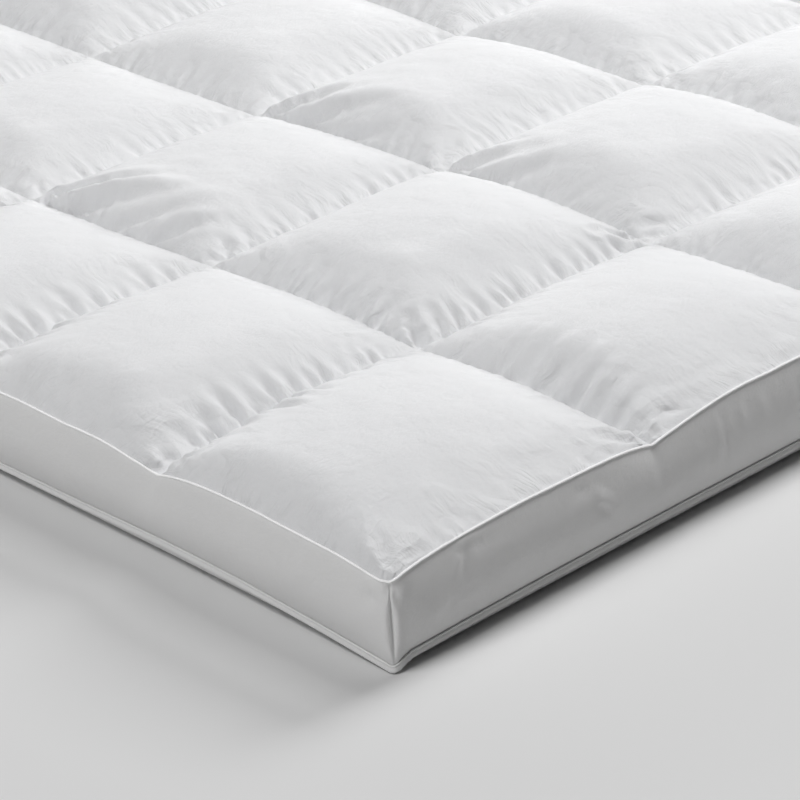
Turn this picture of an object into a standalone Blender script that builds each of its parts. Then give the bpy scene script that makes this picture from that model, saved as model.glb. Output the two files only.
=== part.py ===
"""Filled mattress topper, king size, quilted in boxes.

The topper lies flat on its underside with +Z up.  The origin is the middle of
the underside, X runs along the length and Y along the width.  Three pieces:

  topper_body    the filled case: top panel with sewn channels between crowned
                 boxes, side band that bulges between its two edge seams, and a
                 flat bottom panel
  top_piping     the narrow rolled edge in the seam of top panel and side band
  bottom_flange  the flat folded strip in the seam of side band and bottom panel
"""
import math

import bmesh
import bpy
from mathutils import Vector

# ----------------------------------------------------------------- sizes (m)
BOXES_X = 5                 # quilted boxes along the length
BOXES_Y = 5                 # quilted boxes along the width
BOX_LENGTH = 0.4064         # one box along X
BOX_WIDTH = 0.3861          # one box along Y
LENGTH = BOXES_X * BOX_LENGTH
WIDTH = BOXES_Y * BOX_WIDTH

EDGE_HEIGHT = 0.108         # top edge seam above the ground where a channel ends
EDGE_WAVE = 0.011           # how far that seam rises between two channels
SEAM_HEIGHT = 0.109         # sewn channel above the ground where two cross
SEAM_ARCH = 0.002           # how far an inner channel rises between crossings
SEAM_ARCH_EDGE = 0.008      # the same on the stretch next to the edge
CROWN = 0.034               # crown of a box over the channels around it
CROWN_POWER = 2.2           # fullness of the crown across a box
CROWN_EDGE = 0.92           # steepness of the crown beside a channel

DRAW_IN = 0.004             # the edge seam is pulled in where a channel ends
CORNER_CUT = 0.004          # the corner of the edge seam is rounded by this
BAND_BULGE = 0.011          # the side band stands out from its edge seams
FLANGE_SEAM_HEIGHT = 0.0165 # bottom edge seam above the ground along a side
CORNER_DROOP = 0.0075       # that seam hangs lower at a corner
DROOP_REACH = 0.45          # ... over this distance from the corner
BOTTOM_INSET = 0.024        # the flat underside starts this far inside

PIPING_DIAMETER = 0.0036
FLANGE_WIDTH = 0.0080       # the folded strip's width, downwards
FLANGE_THICKNESS = 0.0020
FLANGE_LEAN = 0.0015        # its lower edge stands out by this
GAP = 0.0005                # clearance between sewn pieces

# Crossings that lie higher or lower than SEAM_HEIGHT: channel number along X,
# channel number along Y, height difference.
SETTLE = (
    # i  j   dz
    (1, 1, 0.003),
    (1, 2, 0.006),
    (1, 4, -0.002),
    (2, 1, 0.002),
    (2, 3, -0.007),
    (2, 4, -0.006),
    (3, 2, 0.002),
    (3, 3, -0.006),
    (4, 1, -0.003),
    (4, 4, 0.003),
)

# Where the mesh lines run across one box, as a share of its side: close
# together beside the channels, wide apart on the crown.
STATIONS = (0.0, 0.055, 0.15, 0.31, 0.5, 0.69, 0.85, 0.945)

# Rows down the side band and under it: share of the way down, share of the
# bulge, distance inside the edge where it lies on the ground.
BAND_ROWS = (
    # down  bulge  inset
    (0.18, 0.62, 0.0),
    (0.50, 1.00, 0.0),
    (0.82, 0.62, 0.0),
    (1.00, 0.00, 0.0),
    (1.00, 0.00, BOTTOM_INSET),
)

COLUMNS = BOXES_X * len(STATIONS)   # mesh lines across the length, less one
ROWS = BOXES_Y * len(STATIONS)      # and across the width


# ------------------------------------------------------------ shape functions
def crown_profile(t):
    """0 at both channels of a box, 1 in its middle."""
    return max(0.0, 1.0 - abs(2.0 * t - 1.0) ** CROWN_POWER) ** CROWN_EDGE


def rise(t):
    """A soft arch from 0 to 1 and back to 0, kinked at both ends."""
    return math.sin(math.pi * t) ** 0.8 if 0.0 < t < 1.0 else 0.0


def crossing_height(i, j):
    if i in (0, BOXES_X) or j in (0, BOXES_Y):
        return EDGE_HEIGHT
    return SEAM_HEIGHT + sum(dz for a, b, dz in SETTLE if (a, b) == (i, j))


def channel_height(i, j, t, along_x):
    """Height on the channel from crossing (i, j) to the next one."""
    h0 = crossing_height(i, j)
    if along_x:
        h1, line, last, start, end = crossing_height(i + 1, j), j, BOXES_Y, i, BOXES_X
    else:
        h1, line, last, start, end = crossing_height(i, j + 1), i, BOXES_X, j, BOXES_Y
    if line in (0, last):
        arch = EDGE_WAVE
    elif start == 0 or start == end - 1:
        arch = SEAM_ARCH_EDGE
    else:
        arch = SEAM_ARCH
    return h0 + (h1 - h0) * t + arch * rise(t)


def top_height(i, j, u, v):
    """Height of the top panel in box (i, j) at shares u and v of its sides."""
    south = channel_height(i, j, u, True)
    north = channel_height(i, j + 1, u, True)
    west = channel_height(i, j, v, False)
    east = channel_height(i + 1, j, v, False)
    corners = (
        (1 - u) * (1 - v) * crossing_height(i, j)
        + u * (1 - v) * crossing_height(i + 1, j)
        + (1 - u) * v * crossing_height(i, j + 1)
        + u * v * crossing_height(i + 1, j + 1)
    )
    base = (1 - v) * south + v * north + (1 - u) * west + u * east - corners
    return base + CROWN * crown_profile(u) * crown_profile(v)


def pull_in(k, t, count):
    """How far an edge seam is drawn in: most where a channel ends."""
    at_start = 0.0 if k == 0 else 1.0
    at_end = 0.0 if k == count - 1 else 1.0
    near = at_start * max(0.0, 1.0 - 4.0 * t) ** 2 + at_end * max(0.0, 4.0 * t - 3.0) ** 2
    return DRAW_IN * near


def plan_position(i, j, u, v):
    """Plan position of a top panel point, edges drawn in at the channels."""
    x = (i + u) * BOX_LENGTH - LENGTH / 2
    y = (j + v) * BOX_WIDTH - WIDTH / 2
    side_x = -1 if (i, u) == (0, 0.0) else 1 if (i, u) == (BOXES_X - 1, 1.0) else 0
    side_y = -1 if (j, v) == (0, 0.0) else 1 if (j, v) == (BOXES_Y - 1, 1.0) else 0
    if side_x:
        x -= side_x * pull_in(j, v, BOXES_Y)
    if side_y:
        y -= side_y * pull_in(i, u, BOXES_X)
    if side_x and side_y:
        x -= side_x * CORNER_CUT
        y -= side_y * CORNER_CUT
    return x, y


def split_station(n, boxes):
    """Box number and share for mesh line n."""
    box, step = divmod(n, len(STATIONS))
    if box == boxes:
        return boxes - 1, 1.0
    return box, STATIONS[step]


def droop(x, y):
    """1 at a corner of the plan, 0 from DROOP_REACH on."""
    away = (LENGTH / 2 - abs(x)) + (WIDTH / 2 - abs(y))
    t = min(1.0, max(0.0, away / DROOP_REACH))
    return (1.0 - t) ** 2


def top_point(col, row):
    """Point of the top panel on mesh lines col and row."""
    i, u = split_station(col, BOXES_X)
    j, v = split_station(row, BOXES_Y)
    x, y = plan_position(i, j, u, v)
    return Vector((x, y, top_height(i, j, u, v)))


def side_direction(col, row):
    """Direction out of the side at an edge point, both ways at a corner."""
    return Vector((
        -1.0 if col == 0 else 1.0 if col == COLUMNS else 0.0,
        -1.0 if row == 0 else 1.0 if row == ROWS else 0.0,
        0.0,
    ))


def bottom_point(col, row):
    """Point of the bottom edge seam under an edge point of the top panel."""
    i, u = split_station(col, BOXES_X)
    j, v = split_station(row, BOXES_Y)
    x = (i + u) * BOX_LENGTH - LENGTH / 2
    y = (j + v) * BOX_WIDTH - WIDTH / 2
    z = FLANGE_SEAM_HEIGHT - CORNER_DROOP * droop(x, y)
    if col in (0, COLUMNS) and row in (0, ROWS):
        x -= math.copysign(CORNER_CUT, x)
        y -= math.copysign(CORNER_CUT, y)
    return Vector((x, y, z))


def rim_lines():
    """Mesh lines of the edge points in order, from the (-X, -Y) corner."""
    ring = [(n, 0) for n in range(COLUMNS)]
    ring += [(COLUMNS, n) for n in range(ROWS)]
    ring += [(COLUMNS - n, ROWS) for n in range(COLUMNS)]
    ring += [(0, ROWS - n) for n in range(ROWS)]
    return ring


# ------------------------------------------------------------- scene helpers
def clear_scene():
    for ob in list(bpy.data.objects):
        bpy.data.objects.remove(ob, do_unlink=True)


def cloth_material(name, colour, roughness, sheen):
    mat = bpy.data.materials.new(name)
    mat.use_nodes = True
    bsdf = mat.node_tree.nodes["Principled BSDF"]
    bsdf.inputs["Base Color"].default_value = (*colour, 1.0)
    bsdf.inputs["Roughness"].default_value = roughness
    bsdf.inputs["Metallic"].default_value = 0.0
    bsdf.inputs["Sheen Weight"].default_value = sheen
    return mat


def add_object(collection, name, data, material):
    ob = bpy.data.objects.new(name, data)
    collection.objects.link(ob)
    data.materials.append(material)
    return ob


# -------------------------------------------------------------------- pieces
def build_body(collection, material):
    bm = bmesh.new()
    bmesh.ops.create_grid(bm, x_segments=COLUMNS, y_segments=ROWS, size=1.0)
    lines = {}
    for vert in bm.verts:
        col = round((vert.co.x + 1.0) / 2.0 * COLUMNS)
        row = round((vert.co.y + 1.0) / 2.0 * ROWS)
        lines[vert] = (col, row)
        vert.co = top_point(col, row)

    # The side band: the rim is drawn down row by row, then turned in under.
    rim = [e for e in bm.edges if e.is_boundary]
    for down, bulge, inset in BAND_ROWS:
        new = bmesh.ops.extrude_edge_only(bm, edges=rim)["geom"]
        fresh = [g for g in new if isinstance(g, bmesh.types.BMVert)]
        found = {}
        for vert in fresh:
            above = next(
                other for other in (e.other_vert(vert) for e in vert.link_edges)
                if other in lines
            )
            found[vert] = lines[above]
        for vert, (col, row) in found.items():
            top = top_point(col, row)
            low = bottom_point(col, row)
            side = side_direction(col, row)
            vert.co = top.lerp(low, down) + side * (BAND_BULGE * bulge - inset)
            if inset:
                vert.co.z = 0.0
        lines.update(found)
        rim = [g for g in new if isinstance(g, bmesh.types.BMEdge)]

    # The flat bottom panel.
    bmesh.ops.contextual_create(bm, geom=rim)
    bmesh.ops.recalc_face_normals(bm, faces=bm.faces)
    mesh = bpy.data.meshes.new("topper_body")
    bm.to_mesh(mesh)
    bm.free()
    mesh.shade_smooth()
    mesh.set_sharp_from_angle(angle=math.radians(55))
    return add_object(collection, "topper_body", mesh, material)


def build_piping(collection, material):
    """A round cord of cloth lying against the top edge seam, all around."""
    stand_off = PIPING_DIAMETER / 2 + GAP
    curve = bpy.data.curves.new("top_piping", "CURVE")
    curve.dimensions = "3D"
    spline = curve.splines.new("POLY")
    ring = rim_lines()
    spline.points.add(len(ring) - 1)
    for point, (col, row) in zip(spline.points, ring):
        place = top_point(col, row) + side_direction(col, row) * (stand_off * 0.80)
        place.z += stand_off * 0.60
        point.co = (*place, 1.0)
    spline.use_cyclic_u = True
    curve.bevel_depth = PIPING_DIAMETER / 2
    curve.bevel_resolution = 2
    return add_object(collection, "top_piping", curve, material)


def build_flange(collection, material):
    """A flat strip hanging from the bottom edge seam, all the way around."""
    # Corners of the strip's section: out from the seam, up from the seam.
    inner = GAP
    outer = GAP + FLANGE_THICKNESS
    section = (
        (inner, 0.0),
        (outer, 0.0),
        (outer + FLANGE_LEAN, -FLANGE_WIDTH),
        (inner + FLANGE_LEAN, -FLANGE_WIDTH),
    )
    bm = bmesh.new()
    rings = []
    for col, row in rim_lines():
        seam = bottom_point(col, row)
        side = side_direction(col, row)
        rings.append([
            bm.verts.new(seam + side * out + Vector((0.0, 0.0, up)))
            for out, up in section
        ])
    for ring, following in zip(rings, rings[1:] + rings[:1]):
        for c in range(len(section)):
            d = (c + 1) % len(section)
            bm.faces.new((ring[c], ring[d], following[d], following[c]))
    bmesh.ops.recalc_face_normals(bm, faces=bm.faces)
    mesh = bpy.data.meshes.new("bottom_flange")
    bm.to_mesh(mesh)
    bm.free()
    return add_object(collection, "bottom_flange", mesh, material)


def main():
    clear_scene()
    collection = bpy.data.collections.new("mattress_topper")
    bpy.context.scene.collection.children.link(collection)
    cotton = cloth_material("cotton_shell", (0.86, 0.86, 0.87), 0.75, 0.25)
    piping = cloth_material("cotton_piping", (0.90, 0.90, 0.90), 0.70, 0.20)
    flange = cloth_material("cotton_flange", (0.84, 0.84, 0.85), 0.78, 0.20)
    build_body(collection, cotton)
    build_piping(collection, piping)
    build_flange(collection, flange)


main()
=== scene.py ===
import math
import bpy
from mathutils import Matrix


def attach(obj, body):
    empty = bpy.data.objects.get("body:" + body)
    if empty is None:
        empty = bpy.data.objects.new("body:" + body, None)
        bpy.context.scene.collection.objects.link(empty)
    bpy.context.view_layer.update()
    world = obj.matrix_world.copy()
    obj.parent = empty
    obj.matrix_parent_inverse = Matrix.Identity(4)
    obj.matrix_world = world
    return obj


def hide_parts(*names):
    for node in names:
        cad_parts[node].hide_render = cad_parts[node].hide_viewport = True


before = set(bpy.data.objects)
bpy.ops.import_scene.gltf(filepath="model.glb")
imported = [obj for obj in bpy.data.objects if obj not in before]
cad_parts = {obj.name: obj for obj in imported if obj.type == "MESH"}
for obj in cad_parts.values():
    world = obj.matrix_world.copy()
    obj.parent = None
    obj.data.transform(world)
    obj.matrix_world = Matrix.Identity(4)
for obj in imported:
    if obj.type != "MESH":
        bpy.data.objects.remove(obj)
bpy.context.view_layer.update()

# Looks of the filled mattress topper.
#
# The top panel is 25 quilted boxes.  Each box is a piece of cloth that is a
# little larger than the frame of sewn channels around it.  It is blown up by
# the filling and relaxed in this script, with its border held on the channels,
# so that the crown, the puckers along the channels and the folds that radiate
# from the crossings come out of the cloth's own length.  The side band is made
# the same way between its two edge seams.  All sizes are in metres.
from concurrent.futures import ThreadPoolExecutor

import bpy
import numpy as np
from mathutils import Matrix, Vector

# ------------------------------------------------------- sizes of the part (m)
BOXES_X = 5
BOXES_Y = 5
BOX_LENGTH = 0.4064
BOX_WIDTH = 0.3861
LENGTH = BOXES_X * BOX_LENGTH
WIDTH = BOXES_Y * BOX_WIDTH
EDGE_HEIGHT = 0.108
EDGE_WAVE = 0.011
SEAM_HEIGHT = 0.109
SEAM_ARCH = 0.002
SEAM_ARCH_EDGE = 0.008
CROWN = 0.031
DRAW_IN = 0.004
CORNER_CUT = 0.004
BAND_BULGE = 0.011
FLANGE_SEAM_HEIGHT = 0.0165
CORNER_DROOP = 0.0075
DROOP_REACH = 0.45
BOTTOM_INSET = 0.024
PIPING_DIAMETER = 0.0036
FLANGE_WIDTH = 0.0080
FLANGE_THICKNESS = 0.0020
FLANGE_LEAN = 0.0015
GAP = 0.0005

# Crossings that lie higher or lower than SEAM_HEIGHT.
SETTLE = {
    (1, 1): 0.003, (1, 2): 0.004, (1, 3): -0.005, (1, 4): -0.002,
    (2, 1): 0.003, (2, 2): 0.002, (2, 3): -0.009, (2, 4): -0.006,
    (3, 2): 0.004, (3, 3): -0.006,
    (4, 1): -0.003, (4, 4): 0.003,
}

# Stretches of channel that arch otherwise than the rest: direction, channel
# number, stretch number, height of the arch.
ARCHES = {
    ("x", 1, 0): 0.0150, ("x", 1, 1): 0.0060, ("x", 2, 0): 0.0070, ("x", 2, 1): 0.0050, ("x", 2, 2): 0.0040,
    ("y", 1, 0): 0.0125, ("y", 1, 1): 0.0082, ("y", 1, 2): 0.0018,
    ("y", 2, 0): 0.0100, ("y", 2, 1): 0.0135, ("y", 2, 2): 0.0085, ("y", 2, 3): -0.0010, ("y", 2, 4): 0.0030,
    ("y", 3, 0): 0.0100, ("y", 3, 1): 0.0150, ("y", 3, 2): 0.0105, ("y", 3, 3): 0.0095,
}

# Height of the top edge seam's waves where they differ from EDGE_WAVE, and how
# far the bottom edge seam is lifted, by distance from the near corner (m).
EDGE_WAVES = {("x", 0, 0): 0.0125, ("x", 0, 1): 0.0210, ("x", 0, 2): 0.0170, ("y", 0, 0): 0.0125, ("y", 0, 1): 0.0165}
EDGE_DIP = 0.003            # how much lower the edge seam is where a channel meets it
# How much higher the top edge seam runs, by distance from the near corner (m, mm).
TRIM_RIGHT = ((0.0, -0.3), (0.008, 0.8), (0.016, 2.4), (0.042, 4.0), (0.077, 5.4), (0.12, 5.8), (0.16, 6.4), (0.20, 7.4),
              (0.24, 7.2), (0.28, 7.8), (0.335, 9.2), (0.365, 8.6), (0.406, 5.4), (0.44, 5.6), (0.48, 6.8), (0.52, 7.5),
              (0.56, 6.4), (0.60, 4.0), (0.65, 4.8), (0.72, 4.5), (0.82, 3.0), (1.2, 2.0), (2.032, 0.0))
TRIM_LEFT = ((0.0, -0.3), (0.012, -1.8), (0.025, -2.6), (0.05, -1.8), (0.08, -0.8), (0.13, -0.9), (0.18, 0.1), (0.20, 1.5),
             (0.24, 2.9), (0.27, 3.9), (0.30, 4.6), (0.33, 3.9), (0.355, 2.3), (0.375, 0.2), (0.40, -1.7), (0.43, -1.2),
             (0.46, 0.1), (0.49, 0.0), (0.52, -2.0), (0.555, -4.4), (0.60, -3.1), (0.64, -1.1), (0.67, -0.2), (1.93, 0.0))
LIFT_RIGHT = ((0.0, 0.0), (0.010, 0.0050), (0.024, 0.0092), (0.08, 0.0090), (0.40, 0.0066), (0.76, 0.0056), (2.2, 0.006))
LIFT_LEFT = ((0.0, 0.0), (0.110, 0.0044), (0.255, 0.0082), (0.386, 0.0084), (0.56, 0.0046), (0.72, 0.0024), (1.0, 0.0040), (2.2, 0.006))
LIFT_FAR = ((0.0, 0.0), (0.12, 0.0060), (2.2, 0.0060))

# --------------------------------------------------------------- mesh density
COLUMNS = (120, 120, 112, 84, 76)   # cells across the boxes along X, multiples of 4
ROWS = (124, 124, 116, 96, 76)      # ... along Y
BAND_CELLS = 28             # down the side band
UNDER_STEP = 4              # the underside's mesh is this much coarser
RIM_ROWS = 8                # from the bottom edge seam in to the flat underside
X_AT = np.concatenate(([0], np.cumsum(COLUMNS)))
Y_AT = np.concatenate(([0], np.cumsum(ROWS)))
NX, NY = int(X_AT[-1]), int(Y_AT[-1])


def steps_of(k, cells):
    """Grid lines across box k, from 0 to 1: closer together beside the outer edge."""
    f = np.linspace(0.0, 1.0, cells[k] + 1)
    if k == 0:
        return f * (1 - 0.7 * np.exp(-f / 0.04))
    if k == len(cells) - 1:
        return 1 - (1 - f) * (1 - 0.5 * np.exp(-(1 - f) / 0.04))
    return f


def all_lines(cells, size):
    parts = [(k + steps_of(k, cells)[:-1]) * size for k in range(len(cells))]
    return np.append(np.concatenate(parts), len(cells) * size) - len(cells) * size / 2


X_LINES, Y_LINES = all_lines(COLUMNS, BOX_LENGTH), all_lines(ROWS, BOX_WIDTH)
CORNER_RADIUS = 1.3 * CORNER_CUT / (1.0 - math.sqrt(0.5))


# ------------------------------------------------------------------- the seams
def rise(t):
    return np.sin(np.pi * np.clip(t, 0.0, 1.0)) ** 0.8


def edge_rise(t, steep):
    """Height along an edge seam: a rounded low point at either end."""
    r = rise(t) ** steep
    e = 0.12
    return (np.sqrt(r * r + e * e) - e) / (math.sqrt(1 + e * e) - e)


def edge_trim(table, away):
    """The table's heights, its corners rounded over 12 mm."""
    at, height = np.array(table).T
    return np.mean([np.interp(away + d, at, height) for d in (-0.006, -0.003, 0.0, 0.003, 0.006)], axis=0) / 1000


def crossing_height(i, j):
    if i in (0, BOXES_X) or j in (0, BOXES_Y):
        at_corner = i in (0, BOXES_X) and j in (0, BOXES_Y)
        return EDGE_HEIGHT - (0.0008 if at_corner else EDGE_DIP)
    return SEAM_HEIGHT + SETTLE.get((i, j), 0.0)


def arch_height(direction, line, start):
    if (direction, line, start) in EDGE_WAVES:
        return EDGE_WAVES[direction, line, start]
    if (direction, line, start) in ARCHES:
        return ARCHES[direction, line, start]
    last, end = (BOXES_Y, BOXES_X) if direction == "x" else (BOXES_X, BOXES_Y)
    if line in (0, last):
        return EDGE_WAVE
    return SEAM_ARCH_EDGE if start in (0, end - 1) else SEAM_ARCH


def pull_in(k, t, count):
    at_start = 0.0 if k == 0 else 1.0
    at_end = 0.0 if k == count - 1 else 1.0
    near = (at_start * np.clip(1.0 - 4.0 * t, 0.0, None) ** 2
            + at_end * np.clip(4.0 * t - 3.0, 0.0, None) ** 2)
    return DRAW_IN * near


def round_corner(along, half, radius=CORNER_RADIUS):
    """Along a side that ends at +-half: place on the side and inset there."""
    away = half - np.abs(along)
    near = away < radius
    angle = np.pi / 4 * (1.0 + np.clip(away / radius, 0.0, 1.0))
    place = np.where(near, np.sign(along) * (half - radius + radius * np.cos(angle)), along)
    inset = np.where(near, radius * (1.0 - np.sin(angle)), 0.0)
    return place, inset


def seam_curve(direction, line, start, wander):
    """Points of one stretch of channel or edge seam between two crossings."""
    if direction == "x":
        cells, step, h = COLUMNS, BOX_LENGTH, [crossing_height(start + a, line) for a in (0, 1)]
        half, count, last, cross, cross_half = LENGTH / 2, BOXES_X, BOXES_Y, line * BOX_WIDTH, WIDTH / 2
    else:
        cells, step, h = ROWS, BOX_WIDTH, [crossing_height(line, start + a) for a in (0, 1)]
        half, count, last, cross, cross_half = WIDTH / 2, BOXES_Y, BOXES_X, line * BOX_LENGTH, LENGTH / 2
    t = steps_of(start, cells)
    along = (start + t) * step - half
    across = np.full_like(t, cross - cross_half)
    at_edge = line in (0, last)
    shape = edge_rise(t, 0.65 if start == 0 else 0.8) if at_edge else rise(t)
    z = h[0] + (h[1] - h[0]) * t + arch_height(direction, line, start) * shape
    if at_edge:
        side = -1.0 if line == 0 else 1.0
        if line == 0:
            trim = edge_trim(TRIM_RIGHT if direction == "x" else TRIM_LEFT, along + half)
            ends = np.clip(np.minimum(along + half, half - along) / 0.012, 0.0, 1.0)
            z += trim * ends
        along, inset = round_corner(along, half)
        across -= side * (inset + pull_in(start, t, count))
    else:
        # A seam sewn by eye is never quite straight.
        across += wander[0] * np.sin(np.pi * t) + wander[1] * np.sin(2 * np.pi * t)
        z += wander[2] * np.sin(2 * np.pi * t) + wander[3] * np.sin(3 * np.pi * t)
    return np.stack((along, across, z) if direction == "x" else (across, along, z), axis=-1)


def all_seams():
    rng = np.random.default_rng(11)
    size = np.array((0.0016, 0.0008, 0.0007, 0.0006))
    along_x = {(i, j): seam_curve("x", j, i, rng.normal(size=4) * size)
               for j in range(BOXES_Y + 1) for i in range(BOXES_X)}
    along_y = {(i, j): seam_curve("y", i, j, rng.normal(size=4) * size)
               for i in range(BOXES_X + 1) for j in range(BOXES_Y)}
    # An edge seam that is drawn in takes the end of its channel along.
    for j in range(1, BOXES_Y):
        for end, i, k in ((0, 0, 0), (-1, BOXES_X - 1, BOXES_X)):
            corner = along_y[k, j][0]
            t = steps_of(i, COLUMNS)
            fade = (1 - t if end == 0 else t) ** 5
            along_x[i, j] += fade[:, None] * (corner - along_x[i, j][end])
    for i in range(1, BOXES_X):
        for end, j, k in ((0, 0, 0), (-1, BOXES_Y - 1, BOXES_Y)):
            corner = along_x[i, k][0]
            t = steps_of(j, ROWS)
            fade = (1 - t if end == 0 else t) ** 5
            along_y[i, j] += fade[:, None] * (corner - along_y[i, j][end])
    return along_x, along_y


def bottom_seam(side_axis, side, along):
    """Bottom edge seam: place along the side, inset, height."""
    half = LENGTH / 2 if side_axis == "x" else WIDTH / 2
    place, inset = round_corner(along, half, 0.006)
    away = half - np.abs(place) + inset
    droop = (1.0 - np.clip(away / DROOP_REACH, 0.0, 1.0)) ** 2
    table = LIFT_FAR if side > 0 else LIFT_RIGHT if side_axis == "x" else LIFT_LEFT
    at, height = np.array(table).T
    far_end = np.clip((half - place) / 0.12, 0.0, 1.0)
    lift = (np.interp(away, at, height) if side > 0 else np.interp(place + half, at, height)) * far_end
    return place, inset, FLANGE_SEAM_HEIGHT - CORNER_DROOP * droop + lift


# ---------------------------------------------------------- cloth that relaxes
def rows_of(count, first):
    """Slices of neighbours in one colour: every second pair from first on."""
    pairs = (count - 1 - first + 1) // 2
    return slice(first, first + 2 * pairs - 1, 2), slice(first + 1, first + 2 * pairs, 2)


class Cloth:
    """A batch of rectangular cloths, each a grid of points joined by threads."""

    def __init__(self, points, spare_u, spare_v, free):
        """The threads are as long as the start shape needs, and a share more."""
        self.P = points.astype(np.float32)
        self.before = self.P.copy()
        self.free = free.astype(np.float32)
        rest_u = np.linalg.norm(points[:, 1:] - points[:, :-1], axis=-1) * (1 + 0.5 * (spare_u[:, 1:] + spare_u[:, :-1]))
        rest_v = np.linalg.norm(points[:, :, 1:] - points[:, :, :-1], axis=-1) * (1 + 0.5 * (spare_v[:, :, 1:] + spare_v[:, :, :-1]))
        both = 1 + 0.5 * (spare_u + spare_v)[:, 1:, 1:]
        rest_d = np.linalg.norm(points[:, 1:, 1:] - points[:, :-1, :-1], axis=-1) * both
        rest_e = np.linalg.norm(points[:, 1:, :-1] - points[:, :-1, 1:], axis=-1) * both
        rest_u, rest_v, rest_d, rest_e = (a.astype(np.float32) for a in (rest_u, rest_v, rest_d, rest_e))
        nu, nv = points.shape[1:3]
        every = slice(None)
        self.jobs = []
        for first in (0, 1):
            a, b = rows_of(nu, first)
            self.add((every, a, every), (every, b, every), rest_u[:, first::2], 1.0)
            c, d = rows_of(nv, first)
            self.add((every, every, c), (every, every, d), rest_v[:, :, first::2], 1.0)
        for first in (0, 1):
            a, b = rows_of(nu, first)
            low, high = slice(0, -1), slice(1, None)
            self.add((every, a, low), (every, b, high), rest_d[:, first::2], 0.35)
            self.add((every, a, high), (every, b, low), rest_e[:, first::2], 0.35)

    def add(self, at_a, at_b, rest, stiffness):
        wa, wb = self.free[at_a], self.free[at_b]
        total = np.where(wa + wb > 0, wa + wb, 1.0)
        self.jobs.append((at_a, at_b, rest,
                          (wa / total * stiffness)[..., None].astype(np.float32),
                          (wb / total * stiffness)[..., None].astype(np.float32)))

    def project(self):
        P = self.P
        for at_a, at_b, rest, ka, kb in self.jobs:
            a, b = P[at_a], P[at_b]
            d = b - a
            length = np.sqrt(np.einsum("...i,...i->...", d, d)) + 1e-9
            d *= ((length - rest) / length)[..., None]
            P[at_a] = a + ka * d
            P[at_b] = b - kb * d

    def normals(self):
        P = self.P
        du, dv = np.zeros_like(P), np.zeros_like(P)
        du[:, 1:-1] = P[:, 2:] - P[:, :-2]
        dv[:, :, 1:-1] = P[:, :, 2:] - P[:, :, :-2]
        n = np.cross(du, dv)
        return n / (np.sqrt(np.einsum("...i,...i->...", n, n))[..., None] + 1e-12)

    def relax(self, steps, push, bend, drag=0.06):
        """push is how far the filling moves a point outwards in one step."""
        free = self.free[..., None]
        for _ in range(steps):
            P = self.P
            speed = (P - self.before) * (1.0 - drag)
            self.before = P.copy()
            P += free * (speed + push * self.normals())
            lap = np.zeros_like(P)
            lap[:, 1:-1, 1:-1] = 0.25 * (P[:, 2:, 1:-1] + P[:, :-2, 1:-1]
                                         + P[:, 1:-1, 2:] + P[:, 1:-1, :-2]) - P[:, 1:-1, 1:-1]
            lap2 = np.zeros_like(P)
            lap2[:, 1:-1, 1:-1] = 0.25 * (lap[:, 2:, 1:-1] + lap[:, :-2, 1:-1]
                                          + lap[:, 1:-1, 2:] + lap[:, 1:-1, :-2]) - lap[:, 1:-1, 1:-1]
            P -= free * bend * lap2
            self.project()
        return self.P


def smooth_line(rng, n, waves, low, high):
    """A slowly changing random line from low to high."""
    t = np.linspace(0.0, 1.0, n)
    y = np.zeros(n)
    for k in range(1, waves + 1):
        y += rng.normal() * np.cos(np.pi * k * t + rng.uniform(0, 2 * np.pi))
    y = (y - y.min()) / max(1e-9, y.max() - y.min())
    return low + (high - low) * y


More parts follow.
